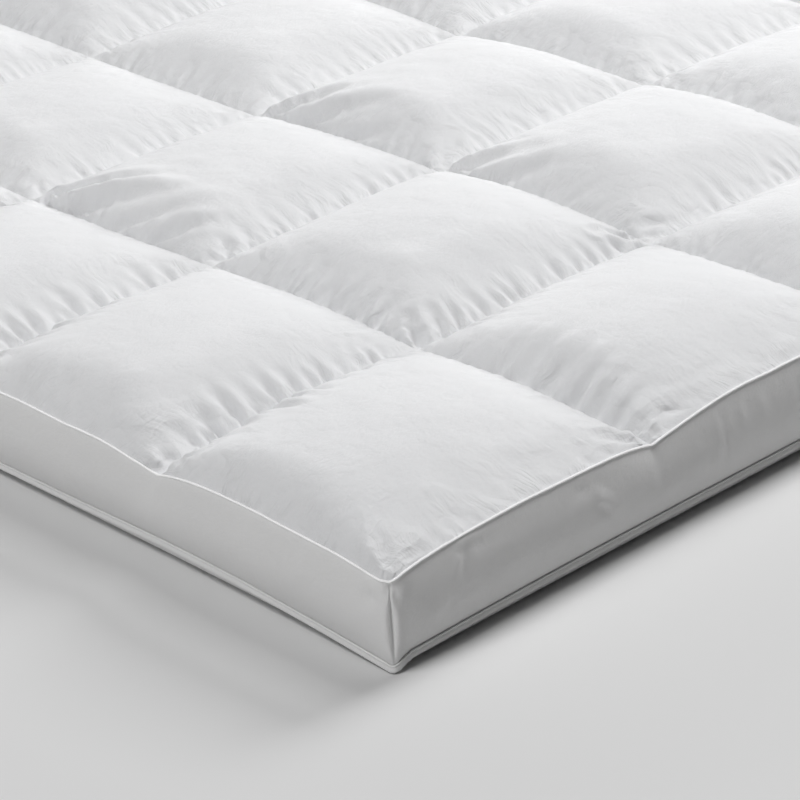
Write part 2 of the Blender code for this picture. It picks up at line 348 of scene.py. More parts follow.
# ------------------------------------------------------------- pleats and folds
# Folds listed one by one, in millimetres from the corner of the box with the
# lowest X and Y: where the fold starts and ends, how deep it is there (a ridge
# has a negative depth) and its half width.
FOLDS = (
    # i  j   x0   y0   x1   y1  depth width
    # far side of the first channel: sharp, short troughs
    (0, 1, 96, 0, 94, 52, 3.4, 5.5),
    (0, 1, 131, 0, 133, 70, 4.2, 5.5),
    (0, 1, 158, 0, 156, 38, 1.8, 4.5),
    (0, 1, 190, 0, 189, 58, 3.8, 5.0),
    (0, 1, 221, 0, 217, 48, 3.4, 5.0),
    (0, 1, 243, 0, 244, 34, 1.6, 4.5),
    (0, 1, 266, 0, 263, 46, 3.0, 5.0),
    (0, 1, 293, 0, 290, 30, 1.5, 4.5),
    (0, 1, 339, 0, 345, 40, 2.0, 5.0),
    # near side of it: longer and softer
    (0, 0, 134, 386, 134, 330, -2.2, 7.0),
    (0, 0, 165, 386, 163, 300, 2.8, 6.0),
    (0, 0, 186, 386, 182, 318, -1.8, 6.0),
    (0, 0, 204, 386, 199, 295, -2.0, 7.0),
    (0, 0, 222, 386, 216, 322, 1.8, 5.0),
    (0, 0, 262, 386, 258, 332, 1.6, 5.0),
    (0, 0, 302, 386, 300, 340, 1.4, 5.0),
    (0, 0, 345, 386, 352, 330, 2.4, 5.5),
    # where the first channel meets the left edge
    (0, 0, 6, 378, 72, 348, -1.2, 4.5),
    (0, 0, 12, 364, 84, 328, 1.0, 5.0),
    (0, 1, 10, 5, 18, 62, -0.9, 4.2),
    (0, 1, 20, 6, 32, 58, 0.9, 4.2),
    (0, 1, 34, 4, 44, 44, -0.8, 4.2),
    # where the first cross channel meets the right edge
    (0, 0, 398, 8, 330, 48, 3.0, 7.0),
    (0, 0, 404, 24, 352, 66, -1.6, 7.0),
    (1, 0, 44, 24, 96, 22, 1.3, 9.0),
    (1, 0, 14, 14, 40, 40, -1.0, 5.5),
    # behind the first cross channel: soft fingers
    (1, 0, 0, 300, 80, 296, -0.8, 10.0),
    (1, 0, 0, 262, 90, 262, -0.9, 10.0),
    (1, 0, 0, 236, 104, 240, -1.4, 9.0),
    (1, 0, 0, 214, 84, 220, 1.2, 8.0),
    (1, 0, 0, 192, 110, 202, -1.7, 9.0),
    (1, 0, 0, 168, 92, 180, 1.4, 8.5),
    (1, 0, 0, 141, 112, 158, -1.9, 9.0),
    (1, 0, 0, 124, 74, 136, 1.2, 7.0),
    (1, 0, 0, 109, 96, 128, -1.5, 7.5),
    (1, 0, 0, 90, 70, 104, 1.3, 5.5),
    (1, 0, 0, 74, 84, 90, -1.4, 5.0),
    (1, 0, 0, 58, 62, 70, 1.4, 4.5),
    (1, 0, 0, 44, 70, 56, -1.2, 4.4),
    (1, 0, 0, 28, 56, 36, 1.3, 4.2),
    (1, 0, 2, 14, 48, 22, -0.9, 4.0),
    # hollows just behind the crossings
    (1, 1, 8, 8, 84, 60, 2.6, 18.0),
    (1, 1, 4, 44, 80, 120, 1.6, 18.0),
    (2, 1, 8, 8, 80, 60, 1.8, 16.0),
    (2, 1, 6, 350, 80, 300, 1.6, 16.0),
    (2, 2, 8, 8, 76, 56, 1.8, 16.0),
    (1, 2, 8, 8, 70, 60, 1.4, 15.0),
    # around the nearest crossing
    (1, 1, 6, 4, 42, 76, 3.4, 6.0),
    (1, 1, 24, 2, 56, 58, -1.8, 5.0),
    (1, 1, 44, 0, 72, 54, 2.8, 5.0),
    (1, 1, 70, 0, 94, 44, 2.4, 4.5),
    (1, 1, 96, 0, 104, 40, 1.8, 4.5),
    (1, 1, 118, 0, 112, 44, 2.2, 4.5),
    (1, 1, 146, 0, 140, 36, 1.6, 4.5),
    (1, 1, 178, 0, 176, 44, 1.8, 5.0),
    (1, 1, 214, 0, 214, 34, 1.4, 4.5),
    (1, 1, 250, 0, 247, 46, 1.9, 5.0),
    (1, 1, 282, 0, 280, 40, 1.6, 4.5),
    (1, 1, 310, 0, 306, 44, 2.4, 4.5),
    (1, 1, 334, 0, 332, 36, 1.8, 4.5),
    (1, 1, 362, 2, 350, 44, 2.0, 4.5),
    (1, 1, 402, 8, 330, 66, 3.2, 6.0),
    (1, 1, 400, 16, 392, 86, 2.4, 5.5),
    (1, 1, 0, 60, 40, 82, -1.8, 5.0),
    (1, 1, 0, 77, 48, 92, 1.8, 5.0),
    (1, 1, 0, 92, 54, 104, -2.0, 5.5),
    (1, 1, 0, 108, 50, 116, 1.6, 5.0),
    (1, 1, 0, 124, 60, 134, -2.0, 6.0),
    (1, 1, 0, 142, 52, 148, 1.6, 5.5),
    (1, 1, 0, 158, 62, 166, -1.8, 6.5),
    (1, 1, 0, 196, 60, 204, -1.8, 7.0),
    (1, 1, 0, 230, 54, 238, -1.6, 7.0),
    # second channel
    (0, 2, 60, 0, 58, 52, 2.6, 5.5),
    (0, 2, 90, 0, 88, 34, 1.8, 4.5),
    (0, 2, 114, 0, 108, 62, 3.2, 5.5),
    (0, 2, 136, 0, 135, 66, 3.2, 5.0),
    (0, 2, 166, 0, 164, 34, 1.6, 4.5),
    (0, 2, 200, 0, 193, 62, 3.4, 5.5),
    (0, 2, 234, 0, 227, 46, 2.8, 5.0),
    (0, 2, 270, 0, 268, 34, 1.6, 4.5),
    (0, 2, 313, 0, 308, 52, 2.6, 5.0),
    (0, 2, 346, 0, 342, 38, 1.8, 4.5),
    (0, 1, 150, 386, 173, 292, -2.2, 7.0),
    (0, 1, 60, 384, 77, 288, -2.0, 8.0),
    (0, 1, 112, 386, 120, 318, 2.0, 6.0),
    (0, 1, 205, 386, 206, 326, 1.8, 6.0),
    (0, 1, 240, 386, 240, 320, -1.6, 7.0),
    (1, 2, 30, 0, 60, 46, 2.6, 5.0),
    (1, 2, 70, 0, 84, 42, 2.2, 5.0),
    (1, 2, 128, 0, 126, 34, 1.6, 4.5),
    (1, 2, 180, 0, 178, 40, 1.8, 5.0),
    (1, 2, 236, 0, 232, 32, 1.4, 4.5),
    (1, 2, 288, 0, 284, 42, 2.0, 5.0),
    (1, 2, 340, 0, 334, 36, 1.8, 4.5),
    # long folds drawn slantwise by the far crossings
    (1, 2, 6, 366, 128, 220, 4.6, 11.0),
    (1, 2, 0, 345, 126, 178, -3.0, 12.0),
    (1, 2, 0, 306, 108, 150, 4.2, 12.0),
    (1, 2, 0, 210, 84, 116, 2.8, 10.0),
    (1, 2, 0, 176, 88, 74, -2.0, 10.0),
    (1, 2, 0, 132, 104, 22, 3.6, 10.0),
    (2, 2, 2, 370, 122, 246, 4.0, 11.0),
    (2, 2, 0, 330, 110, 210, -2.4, 11.0),
    (2, 2, 0, 294, 96, 160, 3.6, 11.0),
    (2, 2, 0, 200, 44, 104, 2.6, 10.0),
    (2, 1, 4, 376, 96, 262, 3.0, 10.0),
    (2, 1, 0, 330, 88, 216, -2.0, 10.0),
    (2, 1, 0, 286, 76, 184, 2.6, 10.0),
    # tuck by the near corner
    (0, 0, 34, 13, 74, 12, 1.0, 5.0),
    (0, 0, 16, 20, 62, 104, 1.6, 9.0),
    (0, 0, 12, 34, 34, 84, -1.2, 8.0),
)

# The filling sits towards the near corner of a box: how far along X and along Y
# its straight near flank goes, as a share of the box, and the crown's height.
CROWNS = {(0, 0): (0.15, 0.42, 1.06), (1, 0): (0.17, 0.42, 1.12), (0, 1): (0.20, 0.32, 1.18), (1, 1): (0.25, 0.30, 1.34),
          (2, 1): (0.25, 0.28, 1.28), (2, 2): (0.24, 0.30, 1.26), (1, 2): (0.23, 0.32, 1.20)}


def flank(t, reach, crest=0.31, fall=2.7):
    """Height across a box: a straight flank up to reach, then a slow fall to 1."""
    up, top = t / reach, 1.0 - np.clip((t - crest) / (1 - crest), 0.0, 1.0) ** fall
    soft = 0.06
    return np.clip(-soft * np.log(np.exp(-up / soft) + np.exp(-top / soft)), 0.0, 1.0)


def crown_of(u, v, reach_x, reach_y):
    """Height over a box: near a crossing its flanks meet in a soft hip."""
    a, b = flank(u, reach_x) + 1e-4, flank(v, reach_y, 0.38, 2.5) + 1e-4
    return 2 ** (1 / 3) * (a ** -3 + b ** -3) ** (-1 / 3) - 1e-4


SPARE = 0.0004              # the cloth is this much longer than its start shape
FOLD_SPARE = 0.10           # and this much more in a fold, by its steepness
HAND_FOLDS = 3.1            # the folds of the table above are this much deeper
LUMPS = 0.0005              # unevenness of the filling
DENTS = 0.00030             # and its finer unevenness
SEAM_PUCKER = 0.20          # share of a fold's depth that its channel follows
PUCKER_REACH = 9.0          # how far that reaches into the boxes, mm


def seam_pleats(direction, line, start):
    """Pleats that a stretch of channel gathers: place, side lengths, depth, width, lean."""
    rng = np.random.default_rng(7000 + 100 * line + 10 * start + (0 if direction == "x" else 5))
    length = (BOX_LENGTH if direction == "x" else BOX_WIDTH) * 1000
    pleats, at = [], rng.uniform(10, 40)
    while at < length - 10:
        if rng.random() < 0.38:
            pleats.append((at, rng.uniform(48, 100, 2), rng.uniform(1.4, 3.4), rng.uniform(3.8, 6.0), rng.normal(0, 0.26, 2)))
            at += rng.uniform(10, 28)
        else:
            pleats.append((at, rng.uniform(20, 64, 2), rng.uniform(0.5, 1.6), rng.uniform(3.0, 4.2), rng.normal(0, 0.34, 2)))
            at += rng.uniform(6, 19)
    return pleats


def box_sides(i, j):
    """Direction, line, start, point at s, way inwards, half of the pleat, outer edge or not."""
    a, b = BOX_LENGTH * 1000, BOX_WIDTH * 1000
    return (
        ("x", j, i, lambda s: (s, 0.0), (0, 1), 1, j == 0),
        ("x", j + 1, i, lambda s: (s, b), (0, -1), 0, j + 1 == BOXES_Y),
        ("y", i, j, lambda s: (0.0, s), (1, 0), 1, i == 0),
        ("y", i + 1, j, lambda s: (a, s), (-1, 0), 0, i + 1 == BOXES_X),
    )


def folds_of_box(i, j):
    """Folds of one box as rows of FOLDS: those listed in the table, then the others."""
    by_hand = [(*row[2:6], row[6] * HAND_FOLDS, row[7]) for row in FOLDS if row[:2] == (i, j)]
    a, b = BOX_LENGTH * 1000, BOX_WIDTH * 1000
    rng = np.random.default_rng(8000 + 10 * i + j)
    folds = []
    for direction, line, start, point, inward, half, at_edge in box_sides(i, j):
        for at, lengths, depth, width, lean in seam_pleats(direction, line, start):
            x0, y0 = point(at)
            if any(math.hypot(x0 - f[0], y0 - f[1]) < 10 for f in by_hand):
                continue
            strength = 0.5 if at_edge else 1.0 if by_hand else 0.95
            reach = lengths[half]
            along = (abs(inward[1]), abs(inward[0]))
            x1 = x0 + inward[0] * reach + along[0] * reach * lean[half]
            y1 = y0 + inward[1] * reach + along[1] * reach * lean[half]
            folds.append((x0, y0, x1, y1, depth * strength, width))
    # Short folds that fan out from a crossing.
    for cx, cy, inner in ((0, 0, i > 0 and j > 0), (a, 0, i < BOXES_X - 1 and j > 0),
                          (0, b, i > 0 and j < BOXES_Y - 1), (a, b, i < BOXES_X - 1 and j < BOXES_Y - 1)):
        if any(math.hypot(cx - f[0], cy - f[1]) < 30 for f in by_hand):
            continue
        for angle in np.radians((20, 45, 68) + rng.normal(0, 6, 3)):
            reach, away = rng.uniform(34, 70), rng.uniform(4, 9)
            dx, dy = math.cos(angle) * (1 if cx == 0 else -1), math.sin(angle) * (1 if cy == 0 else -1)
            depth = rng.uniform(0.8, 2.0) * rng.choice((1.0, -0.7)) * (0.8 if inner else 0.3)
            folds.append((cx + dx * away, cy + dy * away, cx + dx * reach, cy + dy * reach, depth, rng.uniform(4.0, 5.6)))
    return by_hand, folds


def pucker(direction, line, start):
    """How far the folds that begin at a stretch of channel pull it up or down."""
    length = (BOX_LENGTH if direction == "x" else BOX_WIDTH) * 1000
    s = steps_of(start, COLUMNS if direction == "x" else ROWS) * length
    z = np.zeros(len(s))
    boxes = ((start, line - 1), (start, line)) if direction == "x" else ((line - 1, start), (line, start))
    for i, j in boxes:
        if not (0 <= i < BOXES_X and 0 <= j < BOXES_Y):
            continue
        by_hand, others = folds_of_box(i, j)
        for side in box_sides(i, j):
            if side[:3] != (direction, line, start) or side[6]:
                continue
            for x0, y0, x1, y1, depth, width in by_hand + others:
                at = x0 if direction == "x" else y0
                if math.dist(side[3](at), (x0, y0)) < 1.0 and 0 < at < length:
                    z -= depth * np.exp(-((s - at) / (0.9 * width)) ** 2)
    ends = np.clip(np.minimum(s, length - s) / 14.0, 0, 1)
    return np.clip(z * SEAM_PUCKER, -1.8, 1.2) / 1000 * ends


def press_folds(folds, x, y):
    """What the folds add to the height, and the spare cloth they need each way."""
    height = np.zeros((len(x), len(y)))
    spare_x, spare_y = np.zeros_like(height), np.zeros_like(height)
    for x0, y0, x1, y1, depth, width in folds:
        pad = 4.5 * width
        c = slice(np.searchsorted(x, min(x0, x1) - pad), np.searchsorted(x, max(x0, x1) + pad))
        r = slice(np.searchsorted(y, min(y0, y1) - pad), np.searchsorted(y, max(y0, y1) + pad))
        length = math.hypot(x1 - x0, y1 - y0)
        ux, uy = (x1 - x0) / length, (y1 - y0) / length
        dx, dy = (x[c] - x0)[:, None], (y[r] - y0)[None, :]
        along = dx * ux + dy * uy
        w = dy * ux - dx * uy
        t = np.clip((along + 2.0) / 9.0, 0, 1)
        fade = t * t * (3 - 2 * t) * np.clip(1 - along / length, 0, 1) ** 1.25
        sigma = width * (0.7 + 0.6 * np.clip(along / length, 0, 1))
        q = w / sigma * (1 + 0.3 * np.tanh(2 * w / sigma))      # one wall steeper
        bell = np.exp(-q * q)
        lips = np.exp(-((np.abs(w) - 1.8 * sigma) / (0.9 * sigma)) ** 2)
        height[c, r] -= depth * fade * (bell - 0.45 * lips)
        steep = FOLD_SPARE * (depth / width) ** 2
        spare_x[c, r] += steep * uy * uy * fade * bell
        spare_y[c, r] += steep * ux * ux * fade * bell
    return height / 1000, np.minimum(spare_x, 0.06), np.minimum(spare_y, 0.06)


def lumps(rng, x, y, low=80, high=200, count=14):
    """Unevenness of the filling over one box, its waves low to high mm long."""
    total = np.zeros((len(x), len(y)))
    for _ in range(count):
        wave = rng.uniform(low, high)
        angle = rng.uniform(0, np.pi)
        phase = rng.uniform(0, 2 * np.pi)
        total += np.sin(2 * np.pi / wave * (x[:, None] * math.cos(angle) + y[None] * math.sin(angle)) + phase) * wave / 100
    return total / total.std()


def relaxed_box(along_x, along_y, i, j):
    """One box of the top panel: its start shape, relaxed with its border held."""
    nu, nv = COLUMNS[i] + 1, ROWS[j] + 1
    u, v = steps_of(i, COLUMNS)[:, None], steps_of(j, ROWS)[None, :]
    rng = np.random.default_rng(100 + 10 * j + i)
    south, north, west, east = along_x[i, j], along_x[i, j + 1], along_y[i, j], along_y[i + 1, j]
    start = ((1 - v)[..., None] * south[:, None] + v[..., None] * north[:, None]
             + (1 - u)[..., None] * west[None] + u[..., None] * east[None]
             - ((1 - u) * (1 - v))[..., None] * south[0]
             - (u * (1 - v))[..., None] * south[-1]
             - ((1 - u) * v)[..., None] * north[0]
             - (u * v)[..., None] * north[-1])
    reach_x, reach_y, tall = CROWNS.get((i, j), (0.25, 0.32, 1.18))
    crown = tall * crown_of(u, v, reach_x, reach_y)
    x, y = u[:, 0] * BOX_LENGTH * 1000, v[0] * BOX_WIDTH * 1000
    by_hand, others = folds_of_box(i, j)
    height, spare_x, spare_y = press_folds(by_hand + others, x, y)
    pulls = (pucker("x", j, i)[:, None] * np.exp(-y / PUCKER_REACH)[None]
             + pucker("x", j + 1, i)[:, None] * np.exp(-(y[-1] - y) / PUCKER_REACH)[None]
             + pucker("y", i, j)[None] * np.exp(-x / PUCKER_REACH)[:, None]
             + pucker("y", i + 1, j)[None] * np.exp(-(x[-1] - x) / PUCKER_REACH)[:, None])
    free = np.ones((nu, nv))
    free[0] = free[-1] = free[:, 0] = free[:, -1] = 0
    uneven = LUMPS * lumps(rng, x, y) + DENTS * lumps(rng, x, y, 28, 75, 30)
    start[..., 2] += CROWN * crown + pulls + free * (height + uneven * np.clip(crown * 1.6, 0, 1))
    cloth = Cloth(start[None], (SPARE + spare_x)[None], (SPARE + spare_y)[None], free[None])
    return cloth.relax(200, push=0.4e-6, bend=0.03)[0]


# Folds of the band, in millimetres along it from the near corner and up from
# its lower seam: start, end, depth (a ridge has a negative one), half width.
BAND_FOLDS = {
    0: (
        (5, 88, 8, 70, 1.6, 3.0), (14, 86, 17, 62, -0.9, 3.5),
        (97, 84, 74, 50, -1.2, 6.0), (74, 50, 50, 14, -1.6, 7.0), (112, 84, 88, 46, 0.8, 6.0),
        (60, 66, 46, 36, 0.6, 6.0), (22, 84, 24, 56, 0.6, 4.0), (30, 30, 32, 12, -0.5, 4.0),
        (300, 68, 360, 30, -1.0, 5.0), (306, 58, 350, 26, 0.7, 6.0), (250, 60, 330, 74, -0.7, 7.0),
        (500, 84, 505, 48, -0.8, 4.5), (505, 56, 516, 14, -1.2, 4.5), (514, 60, 524, 20, 0.8, 5.0),
        (462, 70, 480, 44, -0.7, 5.0), (540, 80, 552, 56, -0.9, 4.5), (575, 78, 590, 36, -0.6, 6.0), (640, 76, 650, 30, 0.6, 7.0),
        (90, 83, 270, 84, 0.9, 3.0), (270, 84, 398, 80, 0.7, 3.5),
    ),
    3: (
        (3, 90, 6, 72, 1.8, 3.0), (12, 84, 26, 70, 1.6, 5.0), (22, 76, 50, 54, 1.8, 8.0),
        (34, 46, 44, 18, 0.5, 6.0), (120, 70, 190, 30, -0.5, 14.0), (386, 84, 392, 44, -0.6, 9.0),
        (430, 76, 470, 30, -0.5, 14.0), (500, 60, 620, 40, 0.5, 14.0),
    ),
}
BAND_SPARE_UP = 0.004       # the band's cloth is this much taller than its start shape
BAND_SPARE_ALONG = 0.0015   # and this much longer
BAND_GATHER = 0.002         # ... beside a corner seam
CORNER_SEAM = ((0.0, -0.0034), (0.0010, -0.0010), (0.0020, 0.0010), (0.0034, 0.0017), (0.0050, 0.0012), (0.0066, -0.0006), (0.014, 0.0))


def ring_tables():
    """Perimeter in order from the (-X, -Y) corner: side and place along it."""
    return (("x", -1.0, X_LINES), ("y", 1.0, Y_LINES), ("x", 1.0, X_LINES[::-1]), ("y", -1.0, Y_LINES[::-1]))


def band_folds(side_no):
    """The folds of one side of the band, for the far ends and sides by chance."""
    rng = np.random.default_rng(950 + side_no)
    folds = [(*row[:4], row[4] * 1.9, row[5]) for row in BAND_FOLDS.get(side_no, ())]
    length = (LENGTH if side_no in (0, 2) else WIDTH) * 1000
    at = 700 if folds else 30
    while at < length - 30:
        low = rng.uniform(8, 40)
        folds.append((at, low + rng.uniform(25, 45), at + rng.normal(0, 16), low, rng.choice((-1, 1)) * rng.uniform(0.5, 1.3),
                      rng.uniform(5, 9)))
        at += rng.uniform(25, 90)
    return folds


def relaxed_band(side_no, top_edge):
    """One side of the band as a grid: along the side, then from bottom to top."""
    axis, side, along = ring_tables()[side_no]
    half, other = (LENGTH / 2, WIDTH / 2) if axis == "x" else (WIDTH / 2, LENGTH / 2)
    place, inset, z = bottom_seam(axis, side, along)
    across = side * (other - inset)

    def at(p, q, height):
        return np.stack((p, q, height) if axis == "x" else (q, p, height), axis=-1)

    low, out = at(place, across, z), np.array((0.0, side, 0.0) if axis == "x" else (side, 0.0, 0.0))
    n, m = len(along), BAND_CELLS + 1
    rng = np.random.default_rng(900 + side_no)
    t = np.linspace(0.0, 1.0, m)
    points = low[:, None] + (top_edge - low)[:, None] * t[None, :, None]
    # Below the rounded edge seam the corner is sharp.
    round_place, round_inset = round_corner(along, half)
    sharp_top = top_edge + at(along - round_place, side * round_inset, np.zeros(n))
    sharp_low = low + at(along - place, side * inset, np.zeros(n))
    sharp = sharp_low[:, None] + (sharp_top - sharp_low)[:, None] * t[None, :, None]
    w = np.clip((0.97 - t) / 0.17, 0, 1)
    w = (w * w * (3 - 2 * w) * np.clip(t / 0.08, 0, 1))[None, :, None]
    points = points * (1 - w) + sharp * w
    from_end = half - np.abs(along)
    bulge = BAND_BULGE * np.sin(np.pi * t) ** 1.05
    points += (bulge[None] * (1 - np.exp(-from_end / 0.022))[:, None])[..., None] * out
    # The corner seam is a groove with a welt on one side.
    seam_at, seam_out = np.array(CORNER_SEAM).T
    seam_shape = np.sin(np.pi * np.clip(t, 0, 0.97) / 0.97) ** 0.5
    welt = np.interp(from_end, seam_at, seam_out)
    at_first = (np.arange(n) < n // 2)
    welt = np.where(at_first, welt, np.minimum(welt, 0.0))
    points += (welt[:, None] * seam_shape[None])[..., None] * out
    other_way = np.array((1.0, 0.0, 0.0) if axis == "x" else (0.0, 1.0, 0.0))
    for k in (0, -1):
        points[k] += CORNER_SEAM[0][1] * seam_shape[:, None] * np.sign(along[k]) * other_way
    length, tall = 2 * half * 1000, 1000 * np.linalg.norm(top_edge - low, axis=1).mean()
    from_near = (along + half) * 1000
    order = 1 if from_near[0] < from_near[-1] else -1
    shape, _, _ = press_folds(band_folds(side_no), from_near[::order], t * tall)
    free = np.ones((n, m))
    free[0] = free[-1] = free[:, 0] = free[:, -1] = 0
    points += ((shape[::order] + rng.normal(size=(n, m)) * 0.0001) * free)[..., None] * out
    spare = BAND_SPARE_ALONG * smooth_line(rng, n, 30, 0.0, 2.0) + BAND_GATHER * np.exp(-from_end / 0.02)
    cloth = Cloth(points[None], np.repeat(spare[None, :, None], m, axis=2), np.full((1, n, m), BAND_SPARE_UP), free[None])
    return cloth.relax(140, push=0.5e-6, bend=0.02)[0]


# ------------------------------------------------------------- the whole shape
class Body:
    """All points of the filled body in one table, and its faces by row."""

    def __init__(self, top, bands):
        # Top panel: point (c, r) is c * (NY + 1) + r.
        self.points = [top.reshape(-1, 3)]
        self.count = top.shape[0] * top.shape[1]
        self.top_index = np.arange(self.count).reshape(NX + 1, NY + 1)
        # Perimeter of the top panel, counter-clockwise seen from above.
        t = self.top_index
        self.edge = np.concatenate((t[:-1, 0], t[-1, :-1], t[:0:-1, -1], t[0, :0:-1]))
        ring = len(self.edge)
        # Side band from its top seam down; ring_index[k] is row k, 0 the top.
        down = []
        for k in range(1, BAND_CELLS + 1):
            line = np.concatenate([b[:-1, BAND_CELLS - k] for b in bands])
            down.append(self.add(line))
        self.ring = [self.edge] + down
        # The underside rolls in from the bottom seam to the flat part.
        seam = np.concatenate([b[:-1, 0] for b in bands])
        for k in range(1, RIM_ROWS + 1):
            angle = np.pi / 2 * k / RIM_ROWS
            s = 1 - math.cos(angle) ** (2 / 3)
            line = seam.copy()
            line[:, 0] *= 1 - BOTTOM_INSET * s / (LENGTH / 2)
            line[:, 1] *= 1 - BOTTOM_INSET * s / (WIDTH / 2)
            line[:, 2] *= 1 - math.sin(angle) ** (2 / 3)
            self.ring.append(self.add(line))
        assert ring == 2 * (NX + NY)
        self.flat_part()

    def add(self, line):
        index = np.arange(self.count, self.count + len(line))
        self.points.append(line)
        self.count += len(line)
        return index

    def flat_part(self):
        """Coarse grid of the flat underside, its border shared with the rim."""
        q = UNDER_STEP
        cols, rows = NX // q, NY // q
        sx = 1 - BOTTOM_INSET / (LENGTH / 2)
        sy = 1 - BOTTOM_INSET / (WIDTH / 2)
        x, y = X_LINES[::q] * sx, Y_LINES[::q] * sy
        X, Y = np.meshgrid(x, y, indexing="ij")
        # Channels show underneath too, as shallow grooves.
        dx = np.abs((X / sx + LENGTH / 2 + BOX_LENGTH / 2) % BOX_LENGTH - BOX_LENGTH / 2)
        dy = np.abs((Y / sy + WIDTH / 2 + BOX_WIDTH / 2) % BOX_WIDTH - BOX_WIDTH / 2)
        edge = np.minimum(LENGTH / 2 * sx - np.abs(X), WIDTH / 2 * sy - np.abs(Y))
        groove = 0.003 * np.exp(-np.minimum(dx, dy) / 0.010) * np.clip(edge / 0.03, 0, 1)
        lines = np.stack((X, Y, groove), axis=-1)
        inner = self.add(lines[1:-1, 1:-1].reshape(-1, 3)).reshape(cols - 1, rows - 1)
        grid = np.full((cols + 1, rows + 1), -1)
        grid[1:-1, 1:-1] = inner
        ring = self.ring[-1]
        south, east = ring[: NX + 1], ring[NX: NX + NY + 1]
        north, west = ring[NX + NY: 2 * NX + NY + 1][::-1], np.append(ring[2 * NX + NY:], ring[0])[::-1]
        grid[:, 0], grid[:, -1] = south[::q], north[::q]
        grid[0, :], grid[-1, :] = west[::q], east[::q]
        self.under = grid
        self.under_faces = [[] for _ in range(BOXES_Y)]
        row_of = np.repeat(np.arange(BOXES_Y), [n // q for n in ROWS])
        for a in range(cols):
            for b in range(rows):
                # Seen from below the corners run this way round.
                loop = [grid[a, b]]
                if a == 0:
                    loop += list(west[b * q + 1: b * q + q])
                loop.append(grid[a, b + 1])
                if b == rows - 1:
                    loop += list(north[a * q + 1: a * q + q])
                loop.append(grid[a + 1, b + 1])
                if a == cols - 1:
                    loop += list(east[b * q + 1: b * q + q][::-1])
                loop.append(grid[a + 1, b])
                if b == 0:
                    loop += list(south[a * q + 1: a * q + q][::-1])
                self.under_faces[row_of[b]].append(loop)

    def perimeter_of_row(self, row):
        """Numbers of the perimeter steps that belong to a row of boxes."""
        east = list(range(NX + Y_AT[row], NX + Y_AT[row + 1]))
        start = 2 * NX + 2 * NY - Y_AT[row + 1]
        west = list(range(start, start + ROWS[row]))
        steps = east + west
        if row == 0:
            steps += list(range(NX))
        if row == BOXES_Y - 1:
            steps += list(range(NX + NY, 2 * NX + NY))
        return np.array(sorted(steps))

    def wall(self, line):
        """Outline of the inner wall under channel number line, seen from +Y."""
        n = 2 * (NX + NY)
        east, west = NX + Y_AT[line], (n - Y_AT[line]) % n
        loop = list(self.top_index[::-1, Y_AT[line]])               # east to west
        loop += [r[west] for r in self.ring[1:]]
        under = self.under[:, Y_AT[line] // UNDER_STEP]
        loop += list(under[1:-1])
        loop += [r[east] for r in self.ring[:0:-1]]
        return loop


def quads_of(index):
    return np.stack((index[:-1, :-1], index[1:, :-1], index[1:, 1:], index[:-1, 1:]), axis=-1).reshape(-1, 4)


def add_normals(total, points, quads):
    a, b, c, d = (points[quads[:, k]] for k in range(4))
    n = np.cross(c - a, d - b)
    for k in range(4):
        for axis in range(3):
            total[:, axis] += np.bincount(quads[:, k], n[:, axis], len(points))


def unit(v):
    return v / (np.linalg.norm(v, axis=-1, keepdims=True) + 1e-12)


